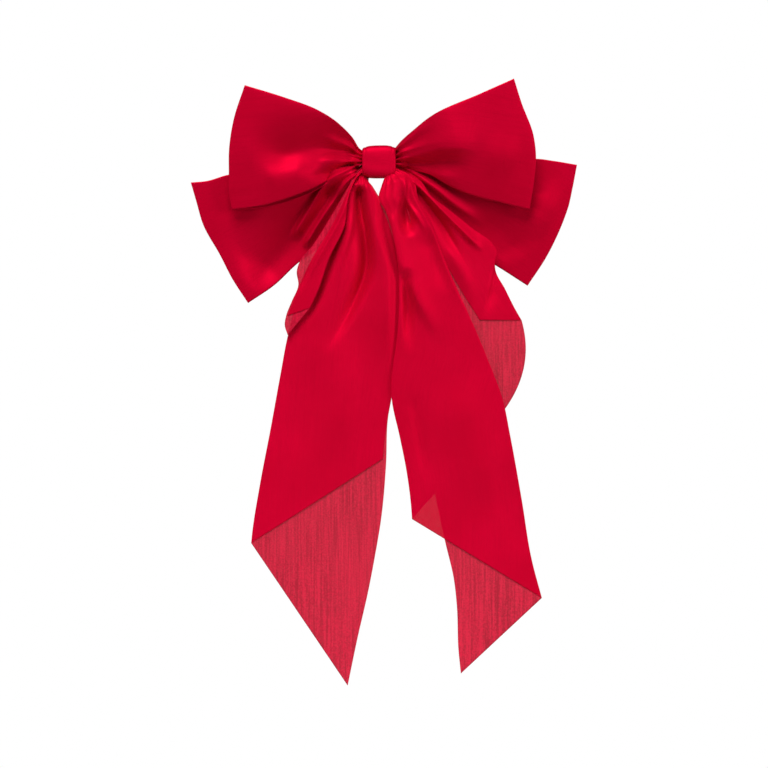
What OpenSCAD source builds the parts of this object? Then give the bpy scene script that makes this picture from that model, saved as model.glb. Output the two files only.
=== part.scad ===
// Hair bow on a French barrette: two tiers of satin loops, two long and two short
// tails, a satin knot band, and a hinged spring clip behind the knot.
// Origin: middle of the clip bar's hair-side face. +X right, +Z up, -Y is the front.
// Lengths are in millimetres.

/* [Knot band] */
// Width of the band, measured along the bow
knot_w = 21.4; // [18:0.2:27]
// Height of the band
knot_h = 20; // [17:0.5:25]
// Depth of the band, front to back, over the clip bar
knot_d = 18.7; // [17.5:0.1:23]
// Thickness of the folded satin in the band
band_t = 1.2; // [0.8:0.1:1.4]
// Corner radius of the band's outline, at most what leaves the clip bar its flat
band_corner_r = 5.4; // [4:0.2:6]

/* [Gathered middle] */
// Radius of the bundle of gathered cloth inside the band
waist_r = 7.3; // [6:0.1:7.4]
// Depth of the groove that the binding thread pulls into the bundle
groove_depth = 0.7; // [0.3:0.1:1.2]
// Radius of the binding thread
thread_r = 0.3; // [0.2:0.05:0.35]
// Turns of binding thread
thread_turns = 9; // [4:1:10]

/* [Upper loops] */
// Reach of the upper left loop from the knot's middle
upper_left_reach = 95; // [75:1:115]
// Reach of the upper right loop from the knot's middle
upper_right_reach = 97; // [75:1:115]
// Height of the upper loops' top corners
upper_rise = 51; // [40:1:62]
// Depth of the upper loops' bottom corners below the knot's middle
upper_drop = 32.3; // [26:0.5:39]
// Half depth of an upper loop where it is fullest
upper_puff = 10; // [7:0.5:11]

/* [Lower loops] */
// Reach of the lower left loop from the knot's middle
lower_left_reach = 125; // [100:1:150]
// Reach of the lower right loop from the knot's middle
lower_right_reach = 131.7; // [105:1:158]
// Depth of the lower loops' bottom corners below the knot's middle
lower_drop = 94; // [78:1:113]
// Half depth of a lower loop where it is fullest
lower_puff = 4.2; // [3:0.1:4.8]

/* [Tails] */
// Flat width of the satin tube that the tails are cut from
ribbon_w = 80; // [66:1:96]
// Drop of the left long tail's tip below the knot's middle
left_long_drop = 349; // [290:1:420]
// Drop of the right long tail's tip
right_long_drop = 341; // [285:1:410]
// Drop of the left short tail's tip
left_short_drop = 116; // [100:1:140]
// Drop of the right short tail's tip
right_short_drop = 160; // [135:1:190]
// Half thickness of a tail along its middle
tail_half_t = 1.2; // [0.8:0.1:1.4]

/* [Cloth] */
// Half thickness of the cloth at an open edge
edge_half_t = 0.6; // [0.4:0.1:0.8]
// Gap left between pieces of cloth that move apart
cloth_gap = 0.3; // [0.2:0.05:0.5]

/* [Clip] */
// Length of the clip bar
bar_l = 80; // [70:1:96]
// Width of the clip bar
bar_w = 9; // [8.6:0.1:11]
// Thickness of the clip bar
bar_t = 0.8; // [0.6:0.1:1]
// Radius of the hinge pin
pin_r = 0.6; // [0.5:0.05:0.8]
// Radial clearance between the hinge pin and the clasp arm's eye
pin_gap = 0.05; // [0.02:0.01:0.1]
// Height of the hinge pin above the bar's hair-side face
pin_height = 4.6; // [4:0.1:5.5]
// Width of the clasp arm
arm_w = 6.8; // [6.6:0.1:7]
// Thickness of the clasp arm's sheet
arm_t = 0.7; // [0.5:0.05:0.9]
// Rise of the clasp arm's bow over its chord
arm_bow = 7; // [6:0.1:9]
// Thickness of the tension leaf
leaf_t = 0.35; // [0.25:0.05:0.5]
// Width of the tension leaf
leaf_w = 5; // [4:0.1:6]
// Rise of the tension leaf's bow over its chord
leaf_bow = 3.9; // [3.6:0.1:4.2]
// Radius of the rivet shanks
rivet_r = 0.8; // [0.6:0.05:1]

/* [Hidden] */
$fn = 48;

satin = [0.78, 0.02, 0.16];
satin_deep = [0.62, 0.01, 0.12];
thread_red = [0.55, 0.02, 0.1];
steel = [0.78, 0.79, 0.81];
steel_dark = [0.6, 0.61, 0.64];

// Knot: the band runs round the bundle and the clip bar
band_back = band_t;
band_front = band_back - knot_d;
band_r = min(band_corner_r, (knot_h - bar_w) / 2);
bundle_y = (band_front + band_t - bar_t) / 2;
slice_half = 1.7;      // half depth of the tails' share of the bundle
slice_gap = 0.1;       // gap between the shares
groove_half = thread_turns * thread_r + thread_r;

// Necks: where a loop or tail leaves the band it ends in a round that its hinge turns in
upper_neck_r = 3;
upper_neck_y = bundle_y - 3.4;
lower_neck_r = 2.3;
lower_neck_y = bundle_y + 2.6;
upper_neck_x = knot_w / 2 + cloth_gap + upper_neck_r;
lower_neck_x = knot_w / 2 + cloth_gap + lower_neck_r;
tail_neck_r = 1.3;
tail_hinge_z = -knot_h / 2 - 2 * cloth_gap - 2 * tail_neck_r;
short_neck_y = bundle_y - 4;
long_neck_y = short_neck_y - 2 * tail_neck_r - cloth_gap;

// Clip
ear_t = 0.8;
ear_gap = 0.2;
ear_r = 2;
pin_x = -bar_l / 2 + 3;
eye_r = 1.5;
catch_x = bar_l / 2 - 6.5;
arm_reach_in = 1.6;     // hinge pin to the start of the arm's bow
arm_tip_x = bar_l / 2 - 3;
arm_start_x = pin_x + arm_reach_in;
arm_chord = arm_tip_x - arm_start_x;
arm_mid_x = (arm_start_x + arm_tip_x) / 2;
arm_end_y = pin_height + 0.9;
arm_r = (arm_chord * arm_chord / 4 + arm_bow * arm_bow) / (2 * arm_bow);
arm_centre_y = arm_end_y + arm_bow - arm_r;
lip_h = 0.9;
lip_t = 0.6;
slot_w = 2.4;
slot_l = 46;
window_half = 2.2;
window_l = 4;
leaf_tab_l = 6;
leaf_hinge_x = -bar_l * 0.35;
leaf_chord = -2 * leaf_hinge_x;
leaf_tilt = 2.6;
leaf_r = (leaf_chord * leaf_chord / 4 + leaf_bow * leaf_bow) / (2 * leaf_bow);
leaf_rivet_x = leaf_hinge_x - 3.2;
leaf_head_r = 1.6;
catch_head_r = 1;
head_t = 0.5;
play = 0.1;            // rivet clearance in the parts it holds loosely
foot_t = 0.5;
prong_t = 0.5;
prong_z = 1.3;         // inner face of a prong
prong_w = 2.6;
prong_foot_gap = 0.3;
pad_top = 4.1;
hook_clear = 0.08;     // the hooks stop this short of the window's rails

function lerp(a, b, t) = a + (b - a) * t;
function bezier(p, t) = (1 - t) * (1 - t) * p[0] + 2 * t * (1 - t) * p[1] + t * t * p[2];
// Fullness across a piece: 0 at its edges, 1 along its middle
function crown(v) = sqrt(max(0, 4 * v * (1 - v)));
function flat(rows) = [for (row = rows) for (p = row) p];

// A closed solid between two grids of points, row by row, with walls round the rim
module between(front, back, clockwise) {
    rows = len(front);
    cols = len(front[0]);
    n = rows * cols;
    function f(i, j) = i * cols + j;
    function b(i, j) = n + i * cols + j;
    faces = concat(
        [for (i = [0 : rows - 2], j = [0 : cols - 2], t = [0, 1])
            t == 0 ? [f(i, j), f(i + 1, j), f(i + 1, j + 1)]
                   : [f(i, j), f(i + 1, j + 1), f(i, j + 1)]],
        [for (i = [0 : rows - 2], j = [0 : cols - 2], t = [0, 1])
            t == 0 ? [b(i, j), b(i + 1, j + 1), b(i + 1, j)]
                   : [b(i, j), b(i, j + 1), b(i + 1, j + 1)]],
        [for (i = [0 : rows - 2], t = [0, 1])
            t == 0 ? [f(i + 1, 0), f(i, 0), b(i, 0)] : [f(i + 1, 0), b(i, 0), b(i + 1, 0)]],
        [for (i = [0 : rows - 2], t = [0, 1], m = [cols - 1])
            t == 0 ? [f(i, m), f(i + 1, m), b(i + 1, m)] : [f(i, m), b(i + 1, m), b(i, m)]],
        [for (j = [0 : cols - 2], t = [0, 1])
            t == 0 ? [f(0, j), f(0, j + 1), b(0, j + 1)] : [f(0, j), b(0, j + 1), b(0, j)]],
        [for (j = [0 : cols - 2], t = [0, 1], m = [rows - 1])
            t == 0 ? [f(m, j + 1), f(m, j), b(m, j)] : [f(m, j + 1), b(m, j), b(m, j + 1)]]);
    polyhedron(points = concat(flat(front), flat(back)),
               faces = clockwise ? faces : [for (t = faces) [t[0], t[2], t[1]]]);
}

// A loop: top and bottom edges are curves from the neck to the corners, the outer edge
// bulges, and the depth swells from the neck to puff and back to the creased outer end
module loop(side, neck, neck_r, neck_z, top, bottom, bulge, mid_y, end_y, puff, end_half) {
    steps = 12;
    across = 8;
    round_angles = [15, 45, 75];
    function edge_top(s) = bezier([[neck[0], neck_z[1]], top[0], top[1]], s);
    function edge_bottom(s) = bezier([[neck[0], neck_z[0]], bottom[0], bottom[1]], s);
    function half(s, v) = edge_half_t
        + (lerp(neck_r, end_half, s) + 4 * s * (1 - s) * puff - edge_half_t) * crown(v);
    function middle(s, v) = lerp(edge_bottom(s), edge_top(s), v) + [bulge * s * s * s * crown(v), 0];
    function y_at(s) = bezier([neck[1], mid_y, end_y], s);
    function neck_row(a, skin) = [for (j = [0 : across])
        let (v = j / across, m = middle(0, v))
        [side * (m[0] - neck_r * cos(a)), neck[1] + skin * min(half(0, v), neck_r * sin(a)), m[1]]];
    function body_row(i, skin) = [for (j = [0 : across])
        let (s = i / steps, v = j / across, m = middle(s, v))
        [side * m[0], y_at(s) + skin * half(s, v), m[1]]];
    function skin_rows(skin) = concat([for (a = round_angles) neck_row(a, skin)],
                                      [for (i = [0 : steps]) body_row(i, skin)]);
    between(skin_rows(-1), skin_rows(1), side < 0);
}

// A tail: each row of shape is [share of the drop, inner edge x, share of the ribbon's width],
// path is [share of the drop, y], and the tail spreads to the outer side of its inner edge
module tail(side, neck_y, drop, shape, path, rows) {
    across = 4;
    round_angles = [15, 45, 75];
    inner = [for (r = shape) [r[0], r[1]]];
    width = [for (r = shape) [r[0], r[2] * ribbon_w]];
    function half(v) = edge_half_t + (tail_half_t - edge_half_t) * crown(v);
    function x_at(f, v) = lookup(f, inner) + side * lookup(f, width) * (side > 0 ? v : 1 - v);
    function neck_row(a, skin) = [for (j = [0 : across])
        let (v = j / across)
        [x_at(0, v), neck_y + skin * tail_neck_r * sin(a), tail_hinge_z + tail_neck_r * cos(a)]];
    function body_row(f, skin) = [for (j = [0 : across])
        let (v = j / across)
        [x_at(f, v), lookup(f, path) + skin * lerp(tail_neck_r, half(v), min(1, f * 12)),
         lerp(tail_hinge_z, -drop, f)]];
    function skin_rows(skin) = concat([for (a = round_angles) neck_row(a, skin)],
                                      [for (f = rows) body_row(f, skin)]);
    between(skin_rows(-1), skin_rows(1), false);
}

// Rounded rectangle in the YZ plane, given as [y0, z0, y1, z1]
module rounded(box, r) {
    for (y = [box[0] + r, box[2] - r], z = [box[1] + r, box[3] - r]) translate([y, z]) circle(r);
    translate([box[0] + r, box[1]]) square([box[2] - box[0] - 2 * r, box[3] - box[1]]);
    translate([box[0], box[1] + r]) square([box[2] - box[0], box[3] - box[1] - 2 * r]);
}

module along_x(length) {
    translate([-length / 2, 0, 0]) rotate([90, 0, 90]) linear_extrude(length) children();
}

// Sheet shapes of the clip are drawn in plan (x, z) and get their thickness along y
module plan(y0, thickness) {
    translate([0, y0 + thickness, 0]) rotate([90, 0, 0]) linear_extrude(thickness) children();
}

module knot_wrap() {
    color(satin) along_x(knot_w) difference() {
        rounded([band_front, -knot_h / 2, band_back, knot_h / 2], band_r);
        rounded([band_front + band_t, -knot_h / 2 + band_t, band_back - band_t, knot_h / 2 - band_t],
                band_r - band_t);
    }
}

module wrap_stitches() {
    stitch_l = 3;
    pitch = 2.4;
    count = 4;
    color(thread_red) for (i = [0 : count])
        translate([0, band_back + thread_r + 0.02, (i - count / 2) * pitch])
            rotate([0, 70, 0]) cylinder(h = stitch_l, r = thread_r, center = true);
}

module waist_thread() {
    pitch = 2 * thread_r + 0.02;
    color(thread_red) for (i = [0 : thread_turns - 1])
        translate([(i - (thread_turns - 1) / 2) * pitch, bundle_y, 0])
            rotate([0, 90, 0]) rotate_extrude()
                translate([waist_r - groove_depth + thread_r + 0.01, 0]) circle(thread_r);
}

// The bundle of gathered cloth, drawn in where the thread binds it
module bundle() {
    half = knot_w / 2;
    slope = 1.5;
    translate([0, bundle_y, 0]) rotate([0, 90, 0]) rotate_extrude() polygon([
        [0, -half], [waist_r, -half], [waist_r, -groove_half - slope],
        [waist_r - groove_depth, -groove_half], [waist_r - groove_depth, groove_half],
        [waist_r, groove_half + slope], [waist_r, half], [0, half]]);
}

module bundle_share(y0, y1) {
    color(satin_deep) intersection() {
        bundle();
        translate([-knot_w, y0, -2 * waist_r]) cube([2 * knot_w, y1 - y0, 4 * waist_r]);
    }
}

module upper_waist() { bundle_share(bundle_y - 2 * waist_r, bundle_y - slice_half - slice_gap); }
module tail_waist() { bundle_share(bundle_y - slice_half, bundle_y + slice_half); }
module lower_waist() { bundle_share(bundle_y + slice_half + slice_gap, bundle_y + 2 * waist_r); }

module upper_left_loop() {
    color(satin) loop(-1, [upper_neck_x, upper_neck_y], upper_neck_r, [-6.5, 7],
        [[38, 31], [upper_left_reach - 6.5, upper_rise - 2.2]],
        [[42, -13], [upper_left_reach + 2.6, -upper_drop]],
        5.5, -30, -20, upper_puff, 1.5);
}

module upper_right_loop() {
    color(satin) loop(1, [upper_neck_x, upper_neck_y], upper_neck_r, [-5, 7],
        [[36, 30], [upper_right_reach - 8, upper_rise + 1.9]],
        [[42, -8], [upper_right_reach + 2.9, -upper_drop]],
        8, -30, -20, upper_puff, 1.5);
}

module lower_left_loop() {
    color(satin_deep) loop(-1, [lower_neck_x, lower_neck_y], lower_neck_r, [-6.5, -0.5],
        [[44, -8.5], [lower_left_reach, -14]],
        [[42, -56], [lower_left_reach - 37.5, -lower_drop]],
        0.5, -6, -2, lower_puff, 1.5);
}

module lower_right_loop() {
    color(satin_deep) loop(1, [lower_neck_x, lower_neck_y], lower_neck_r, [-6.5, -0.5],
        [[44, -11], [lower_right_reach, -2.3]],
        [[44, -40], [lower_right_reach - 32.3, -lower_drop + 11.7]],
        3, -6, -2, lower_puff, 1.5);
}

module left_long_tail() {
    color(satin) tail(-1, short_neck_y, left_long_drop,
        [[0, -9, 0.16], [0.02, -9.5, 0.2], [0.08, -7, 0.34], [0.14, 3, 0.6], [0.2, 9.6, 0.76],
         [0.29, 10.2, 0.88], [0.42, 8, 0.96], [0.56, 4.7, 1.02], [0.67, 1.3, 1.05],
         [0.717, 0, 1.063], [0.75, -3, 0.94], [0.82, -8, 0.675], [0.9, -14, 0.38], [1, -20.4, 0.012]],
        [[0, short_neck_y], [0.03, -13], [0.08, -13.8], [0.2, -13.8], [0.3, -13], [0.45, -11],
         [0.7, -9.5], [1, -9]],
        [0, 0.02, 0.05, 0.08, 0.11, 0.14, 0.17, 0.2, 0.245, 0.29, 0.35, 0.42, 0.49, 0.56, 0.62, 0.67,
         0.717, 0.75, 0.82, 0.9, 1]);
}

module left_short_tail() {
    color(satin) tail(-1, long_neck_y, left_short_drop,
        [[0, -15.5, 0.08], [0.08, -18.5, 0.075], [0.28, -24.5, 0.125], [0.46, -30, 0.22],
         [0.6, -35, 0.245], [0.78, -43.5, 0.185], [0.83, -46, 0.18], [0.88, -55.5, 0.085],
         [1, -60.5, 0.012]],
        [[0, long_neck_y], [0.1, -16.2], [0.3, -17], [0.6, -17.2], [1, -16.6]],
        [0, 0.08, 0.18, 0.28, 0.37, 0.46, 0.53, 0.6, 0.69, 0.78, 0.83, 0.88, 1]);
}

module right_long_tail() {
    color(satin) tail(1, long_neck_y, right_long_drop,
        [[0, 4, 0.25], [0.03, 2, 0.305], [0.07, 9.3, 0.29], [0.166, 13, 0.394], [0.2, 12.6, 0.46],
         [0.267, 11.4, 0.6], [0.356, 10, 0.77], [0.447, 8.8, 0.925], [0.52, 14, 0.92],
         [0.58, 18, 0.92], [0.667, 21.6, 0.935], [0.69, 22.5, 0.94], [0.735, 44, 0.7],
         [0.81, 50, 0.685], [0.847, 51.5, 0.714], [0.872, 52, 0.64], [0.915, 52.7, 0.43],
         [0.96, 53.2, 0.21], [1, 54.2, 0.012]],
        [[0, long_neck_y], [0.03, -16.4], [0.08, -17.4], [0.2, -17.4], [0.4, -15.2], [0.6, -12],
         [0.8, -9.8], [1, -9]],
        [0, 0.03, 0.05, 0.07, 0.1, 0.133, 0.166, 0.2, 0.267, 0.31, 0.356, 0.4, 0.447, 0.52, 0.58,
         0.625, 0.667, 0.69, 0.735, 0.81, 0.847, 0.872, 0.915, 0.96, 1]);
}

module right_short_tail() {
    color(satin_deep) tail(1, short_neck_y, right_short_drop,
        [[0, 10, 0.2], [0.06, 11, 0.29], [0.12, 12, 0.41], [0.21, 15, 0.585], [0.3, 18, 0.745],
         [0.39, 21, 0.7], [0.52, 26, 0.78], [0.65, 31, 0.87], [0.73, 36, 0.81], [0.81, 44, 0.65],
         [0.91, 60, 0.34], [1, 82, 0.012]],
        [[0, short_neck_y], [0.06, -13.2], [0.15, -13.8], [0.5, -14], [0.8, -12.8], [1, -11]],
        [0, 0.06, 0.12, 0.165, 0.21, 0.255, 0.3, 0.345, 0.39, 0.455, 0.52, 0.585, 0.65, 0.73, 0.81,
         0.91, 1]);
}

module clip_bar() {
    ear_z = arm_w / 2 + ear_gap;
    color(steel) difference() {
        union() {
            plan(-bar_t, bar_t) {
                square([bar_l - bar_w, bar_w], center = true);
                for (x = [-1, 1]) translate([x * (bar_l - bar_w) / 2, 0]) circle(bar_w / 2);
            }
            for (z = [ear_z, -ear_z - ear_t]) translate([pin_x, 0, z]) linear_extrude(ear_t) {
                translate([-ear_r, -bar_t / 2]) square([2 * ear_r, pin_height + bar_t / 2]);
                translate([0, pin_height]) circle(ear_r);
            }
        }
        translate([pin_x, pin_height, -bar_w]) cylinder(h = 2 * bar_w, r = pin_r);
        for (x = [leaf_rivet_x, catch_x + 4]) translate([x, bar_t, 0])
            rotate([90, 0, 0]) cylinder(h = 4 * bar_t, r = rivet_r);
    }
}

// A bow of sheet drawn in profile (x, y): the ring between radii r0 and r1 about a centre
// below the middle of its chord, extruded to its width
module bowed(chord, bow, centre_y, r0, r1, width) {
    translate([0, 0, -width / 2]) linear_extrude(width) intersection() {
        translate([0, centre_y]) difference() {
            circle(r1, $fn = 360);
            circle(r0, $fn = 360);
        }
        translate([-chord / 2, -bow]) square([chord, 4 * bow]);
    }
}

module clasp_arm() {
    inside_r = arm_r - arm_t / 2;
    outside_r = arm_r + arm_t / 2;
    color(steel) difference() {
        union() {
            translate([arm_mid_x, arm_end_y, 0]) difference() {
                bowed(arm_chord, arm_bow, arm_bow - arm_r, inside_r, outside_r + lip_h, arm_w);
                bowed(2 * arm_chord, arm_bow, arm_bow - arm_r, outside_r, outside_r + 2 * lip_h,
                      arm_w - 2 * lip_t);
            }
            translate([pin_x, pin_height, -arm_w / 2]) {
                cylinder(h = arm_w, r = eye_r);
                translate([0, eye_r - arm_t, 0]) cube([arm_reach_in + 0.6, arm_t, arm_w]);
            }
        }
        translate([pin_x, pin_height, -arm_w]) cylinder(h = 2 * arm_w, r = pin_r + pin_gap);
        translate([arm_mid_x - slot_l / 2, 0, -slot_w / 2]) cube([slot_l, 4 * pin_height, slot_w]);
        translate([catch_x - window_l / 2, 0, -window_half])
            cube([window_l, 4 * pin_height, 2 * window_half]);
    }
}

module hinge_pin() {
    reach = arm_w / 2 + ear_gap + ear_t;
    head = 0.35;
    color(steel_dark) translate([pin_x, pin_height, 0]) {
        cylinder(h = 2 * reach, r = pin_r, center = true);
        for (z = [reach, -reach - head]) translate([0, 0, z]) cylinder(h = head, r = pin_r + 0.3);
    }
}

module tension_leaf() {
    color(steel) difference() {
        union() {
            plan(0, leaf_t) translate([leaf_hinge_x - leaf_tab_l, -leaf_w / 2])
                square([leaf_tab_l + 0.5, leaf_w]);
            translate([leaf_hinge_x, leaf_t / 2, 0]) rotate([0, 0, leaf_tilt])
                translate([leaf_chord / 2, 0, 0])
                    bowed(leaf_chord, leaf_bow, leaf_bow - leaf_r, leaf_r - leaf_t / 2, leaf_r + leaf_t / 2,
                          leaf_w);
        }
        translate([leaf_rivet_x, 2, 0]) rotate([90, 0, 0]) cylinder(h = 4, r = rivet_r + play);
    }
}

module catch_foot() {
    color(steel_dark) difference() {
        plan(0, foot_t) translate([catch_x - 3, -2.6]) square([9, 5.2]);
        translate([catch_x + 4, 2, 0]) rotate([90, 0, 0]) cylinder(h = 4, r = rivet_r);
    }
}

// One prong stands at z = prong_z and leans in when its pad is squeezed
module catch_prong() {
    arm_top = arm_centre_y + sqrt(pow(arm_r + arm_t / 2, 2) - pow(catch_x - prong_w / 2 - arm_mid_x, 2));
    hook_base = arm_top + 0.35;
    translate([0, 0, prong_z]) {
        linear_extrude(prong_t) {
            translate([catch_x - prong_w / 2, foot_t + prong_foot_gap]) square([prong_w, hook_base + 0.5]);
            translate([catch_x - prong_w / 2, foot_t + prong_foot_gap])
                square([prong_w + 4.4, pad_top - foot_t - prong_foot_gap]);
        }
        translate([catch_x - prong_w / 2, hook_base, 0])
            cube([prong_w, 0.5 + foot_t + prong_foot_gap, window_half - hook_clear - prong_z]);
    }
}

module upper_catch_prong() { color(steel) catch_prong(); }
module lower_catch_prong() { color(steel) mirror([0, 0, 1]) catch_prong(); }

module rivet(x, grip, head_r) {
    translate([x, 0, 0]) rotate([-90, 0, 0]) {
        translate([0, 0, -bar_t]) cylinder(h = bar_t + grip, r = rivet_r);
        translate([0, 0, grip]) cylinder(h = head_t, r1 = head_r, r2 = head_r / 2);
    }
}

module clip_rivets() {
    color(steel_dark) {
        rivet(leaf_rivet_x, leaf_t + 0.25, leaf_head_r);
        rivet(catch_x + 4, foot_t, catch_head_r);
    }
}

knot_wrap();
wrap_stitches();
waist_thread();
upper_waist();
tail_waist();
lower_waist();
upper_left_loop();
upper_right_loop();
lower_left_loop();
lower_right_loop();
left_long_tail();
left_short_tail();
right_long_tail();
right_short_tail();
clip_bar();
clasp_arm();
hinge_pin();
tension_leaf();
catch_foot();
upper_catch_prong();
lower_catch_prong();
clip_rivets();
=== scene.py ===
"""Hair bow: satin loops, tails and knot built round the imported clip."""

import math

import bpy
import numpy as np
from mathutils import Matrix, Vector


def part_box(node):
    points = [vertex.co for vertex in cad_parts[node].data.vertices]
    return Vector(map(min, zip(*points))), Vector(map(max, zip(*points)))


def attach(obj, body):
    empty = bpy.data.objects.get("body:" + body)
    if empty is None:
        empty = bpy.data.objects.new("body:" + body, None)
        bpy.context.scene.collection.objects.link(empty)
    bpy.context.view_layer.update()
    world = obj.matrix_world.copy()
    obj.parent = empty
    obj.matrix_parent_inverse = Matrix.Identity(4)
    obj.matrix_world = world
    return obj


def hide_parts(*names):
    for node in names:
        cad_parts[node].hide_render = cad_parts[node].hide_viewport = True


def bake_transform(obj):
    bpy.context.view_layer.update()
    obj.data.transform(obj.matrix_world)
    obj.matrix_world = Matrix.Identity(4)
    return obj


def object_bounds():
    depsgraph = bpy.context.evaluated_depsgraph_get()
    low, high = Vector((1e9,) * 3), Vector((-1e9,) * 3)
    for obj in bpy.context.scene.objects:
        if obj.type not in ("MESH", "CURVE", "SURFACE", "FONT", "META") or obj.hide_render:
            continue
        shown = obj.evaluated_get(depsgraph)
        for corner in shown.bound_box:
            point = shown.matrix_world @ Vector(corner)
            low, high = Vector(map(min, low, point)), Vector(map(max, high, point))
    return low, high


bl_info = {
    "name": "Satin hair bow",
    "version": (1, 0, 0),
    "blender": (4, 5, 0),
    "location": "View3D > Sidebar > Bow",
    "description": "Builds the satin loops, tails and knot of a hair bow round its clip",
    "category": "Add Mesh",
}

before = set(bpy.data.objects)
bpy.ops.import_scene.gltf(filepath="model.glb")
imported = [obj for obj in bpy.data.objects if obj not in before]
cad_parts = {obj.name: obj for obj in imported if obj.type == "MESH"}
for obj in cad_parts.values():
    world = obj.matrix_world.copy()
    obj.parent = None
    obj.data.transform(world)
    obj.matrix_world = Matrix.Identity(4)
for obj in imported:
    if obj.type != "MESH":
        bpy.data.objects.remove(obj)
CAD_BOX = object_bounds()

MM = 0.001

# Distances from the bow's middle, in millimetres. Pleats are at their fullest out to
# PLEATS_FROM and die away beyond it. Folds rise from FOLDS_FROM over FOLDS_RISE.
PLEATS_FROM = 9
FOLDS_FROM = 10
FOLDS_RISE = 8
PLEAT_MIDDLE = 0.4  # share of a pleat's height that lies below the cloth's own surface


# ---------------------------------------------------------------- curves


def hermite(t, keys, values):
    """Smooth value at t: a cubic between neighbouring keys, whose slope at each key is
    the mean of the slopes either side, weighted by how near each one's key is."""
    keys, values = np.asarray(keys, float), np.asarray(values, float)
    t = np.asarray(t, float)
    slope = np.gradient(values, keys, axis=0)
    i = np.clip(np.searchsorted(keys, t, side="right") - 1, 0, len(keys) - 2)
    gap = keys[i + 1] - keys[i]
    r = np.clip((t - keys[i]) / gap, 0, 1)
    if values.ndim > 1:
        r, gap = r[..., None], gap[..., None]
    start = (1 + 2 * r) * (1 - r) ** 2 * values[i] + r * (1 - r) ** 2 * gap * slope[i]
    end = r * r * (3 - 2 * r) * values[i + 1] + r * r * (r - 1) * gap * slope[i + 1]
    return start + end


def through(points, t):
    """Points at shares t of the way along a smooth curve through the given points,
    where the way is the sum of the straight distances between them."""
    points = np.asarray(points, float)
    run = np.linalg.norm(np.diff(points, axis=0), axis=1)
    keys = np.concatenate([[0.0], np.cumsum(run)]) / run.sum()
    return hermite(t, keys, points)


def smooth(t):
    """0 below 0, 1 above 1, and 3t^2 - 2t^3 between."""
    t = np.clip(t, 0, 1)
    return t * t * (3 - 2 * t)


def crown(v):
    """Fullness across a piece: half an ellipse, 0 at both edges and 1 along the middle."""
    return np.sqrt(np.clip(4 * v * (1 - v), 0, 1))


def fold(x, z, line, height, left, right, rise, fall, power):
    """Height of one fold at the points (x, z): exp(-(d / width)^power) of the distance d
    from the fold's line, with its own width on the left and right of one who walks along it.
    It rises over the first share of the line and dies away over the last. Power 2 is a
    bell, and nearer 1 a crease."""
    knots = through(line, np.linspace(0, 1, 29))
    a, run = knots[:-1], np.diff(knots, axis=0)
    px, pz = x[..., None] - a[:, 0], z[..., None] - a[:, 1]
    along = np.clip((px * run[:, 0] + pz * run[:, 1]) / (run**2).sum(1), 0, 1)
    square = (px - along * run[:, 0]) ** 2 + (pz - along * run[:, 1]) ** 2
    near = square.argmin(-1)[..., None]

    def pick(values):
        return np.take_along_axis(values, near, -1)[..., 0]

    distance = np.sqrt(pick(square) + 0.02)
    share = (near[..., 0] + pick(along)) / len(a)
    width = np.where(pick(run[:, 0] * pz - run[:, 1] * px) < 0, right, left)
    fade = smooth(share / rise) * smooth((1 - share) / fall)
    return height * fade * np.exp(-((distance / width) ** power))


def pleats(v, count, phase, sharp=1.6):
    """A row of count rounded pleats across v, with narrow ridges and the depth 1."""
    wave = 0.5 + 0.5 * np.cos(2 * np.pi * (count * v + phase + 0.06 * np.sin(9 * v + 5 * phase)))
    return wave**sharp


# ---------------------------------------------------------------- meshes


def lengths(grid, axis):
    """Distance run along one axis of a grid of points, from its first row or column."""
    step = np.linalg.norm(np.diff(grid, axis=axis), axis=-1)
    first = np.zeros_like(np.take(step, [0], axis=axis))
    return np.concatenate([first, np.cumsum(step, axis=axis)], axis=axis)


def grid_mesh(name, points, uv, flip=False, around=False):
    """Object from a grid of points in millimetres (rows, columns, 3), with a UV map in
    metres of cloth. flip turns its faces over, and around joins the last column to the first."""
    rows, cols = points.shape[:2]
    index = np.arange(rows * cols).reshape(rows, cols)
    if around:
        index = np.concatenate([index, index[:, :1]], 1)
        uv = np.concatenate([uv, uv[:, -1:] * [2, 1] - uv[:, -2:-1] * [1, 0]], 1)
    quads = [index[:-1, :-1], index[1:, :-1], index[1:, 1:], index[:-1, 1:]]
    corners = [uv[:-1, :-1], uv[1:, :-1], uv[1:, 1:], uv[:-1, 1:]]
    if flip:
        quads, corners = quads[::-1], corners[::-1]
    faces = np.stack(quads, -1).reshape(-1, 4)
    coords = np.stack(corners, -2).reshape(-1, 2)
    mesh = bpy.data.meshes.new(name)
    mesh.vertices.add(rows * cols)
    mesh.vertices.foreach_set("co", (points.reshape(-1, 3) * MM).astype(np.float32).ravel())
    mesh.loops.add(faces.size)
    mesh.loops.foreach_set("vertex_index", faces.ravel().astype(np.int32))
    mesh.polygons.add(len(faces))
    mesh.polygons.foreach_set("loop_start", np.arange(0, faces.size, 4, dtype=np.int32))
    mesh.update(calc_edges=True)
    layer = mesh.uv_layers.new(name="weave")
    layer.data.foreach_set("uv", coords.astype(np.float32).ravel())
    mesh.polygons.foreach_set("use_smooth", np.ones(len(faces), bool))
    mesh.validate()
    piece = bpy.data.objects.new(name, mesh)
    bpy.context.scene.collection.objects.link(piece)
    return piece


def thicken(piece, thickness, inner_slot=0):
    """Gives a cloth surface its thickness, inwards, with the inside skin's material
    inner_slot slots past the outside's."""
    solid = piece.modifiers.new("thickness", "SOLIDIFY")
    solid.thickness = thickness * MM
    solid.offset = -1
    solid.material_offset = inner_slot
    solid.material_offset_rim = 0
    solid.use_even_offset = False


# ---------------------------------------------------------------- materials


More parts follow.
